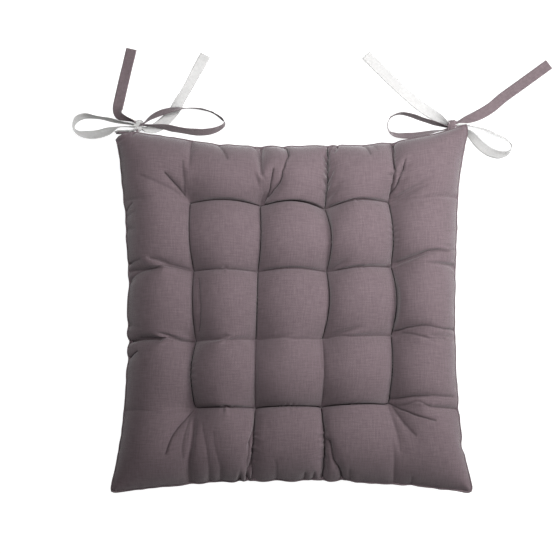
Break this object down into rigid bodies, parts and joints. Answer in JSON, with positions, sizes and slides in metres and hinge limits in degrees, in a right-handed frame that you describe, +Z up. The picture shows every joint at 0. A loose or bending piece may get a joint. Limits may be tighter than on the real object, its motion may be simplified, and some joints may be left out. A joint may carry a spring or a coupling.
{
  "type": "chair seat pad",
  "caption": "Square tufted cushion for a chair seat, with gathered knife-edge sides and two-tone ribbon ties knotted in bows at the rear corners.",
  "frame": {"origin": "on the resting surface, under the middle of the pad", "axes": "+Z up out of the resting surface, +Y towards the rear edge that carries the ties, +X to the right seen from above with the rear edge away"},
  "size_m": [0.5422, 0.4977, 0.0551],
  "materials": {
    "taupe_cotton": "matte",
    "off_white_cotton": "matte",
    "taupe_tape": "matte",
    "off_white_tape": "matte",
    "taupe_thread": "matte",
    "fibre_wadding": "matte"
  },
  "bodies": {
    "root": {"top_cover": "taupe_cotton", "bottom_cover": "off_white_cotton", "filling": "fibre_wadding", "seam_stitching": "taupe_thread", "tuft_stitch_r1c1": "taupe_thread", "tuft_stitch_r1c2": "taupe_thread", "tuft_stitch_r1c3": "taupe_thread", "tuft_stitch_r1c4": "taupe_thread", "tuft_stitch_r2c1": "taupe_thread", "tuft_stitch_r2c2": "taupe_thread", "tuft_stitch_r2c3": "taupe_thread", "tuft_stitch_r2c4": "taupe_thread", "tuft_stitch_r3c1": "taupe_thread", "tuft_stitch_r3c2": "taupe_thread", "tuft_stitch_r3c3": "taupe_thread", "tuft_stitch_r3c4": "taupe_thread", "tuft_stitch_r4c1": "taupe_thread", "tuft_stitch_r4c2": "taupe_thread", "tuft_stitch_r4c3": "taupe_thread", "tuft_stitch_r4c4": "taupe_thread", "tie_left_knot": "off_white_tape", "tie_left_light_root": "off_white_tape", "tie_left_dark_root": "taupe_tape", "tie_left_light_loop": "off_white_tape", "tie_left_light_tail": "off_white_tape", "tie_left_dark_loop": "taupe_tape", "tie_left_dark_tail": "taupe_tape", "tie_right_knot": "taupe_tape", "tie_right_light_root": "off_white_tape", "tie_right_dark_root": "taupe_tape", "tie_right_light_loop": "off_white_tape", "tie_right_light_tail": "off_white_tape", "tie_right_dark_loop": "taupe_tape", "tie_right_dark_tail": "taupe_tape"}
  },
  "joints": []
}
